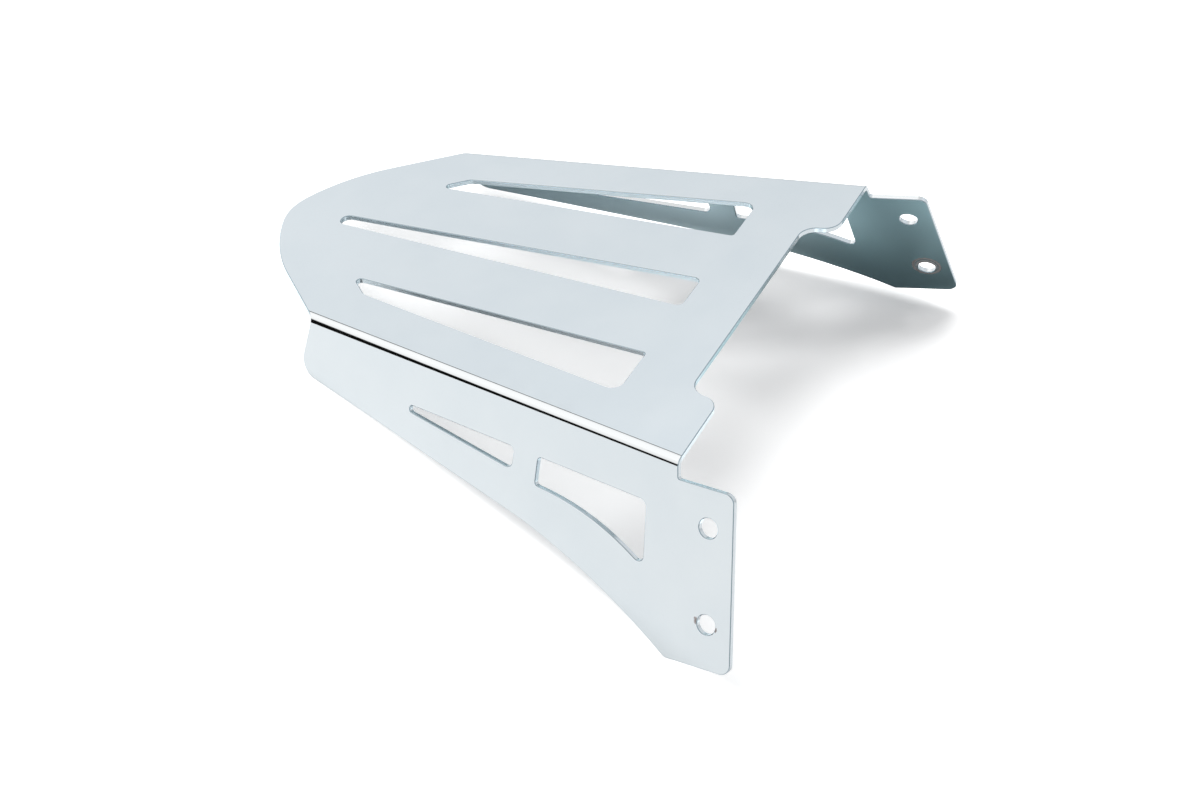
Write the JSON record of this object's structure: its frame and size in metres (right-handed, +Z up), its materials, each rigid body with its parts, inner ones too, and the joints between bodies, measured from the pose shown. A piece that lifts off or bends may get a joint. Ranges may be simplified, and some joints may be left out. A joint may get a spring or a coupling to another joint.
{
  "type": "motorcycle luggage rack",
  "caption": "Folded sheet-metal motorcycle luggage rack: slotted tapering deck with a rounded tail and flared, windowed side plates that end in drilled feet.",
  "frame": {"origin": "middle of the footprint on the floor the rack stands on", "axes": "+Z up, +Y towards the front feet and tabs, -Y towards the rounded tail, X across the rack; the rack is symmetric about X = 0"},
  "size_m": [0.2748, 0.2897, 0.0755],
  "materials": {
    "chromed_steel": "polished chrome plate over folded steel sheet"
  },
  "bodies": {
    "root": {"luggage_rack": "chromed_steel"}
  },
  "joints": []
}
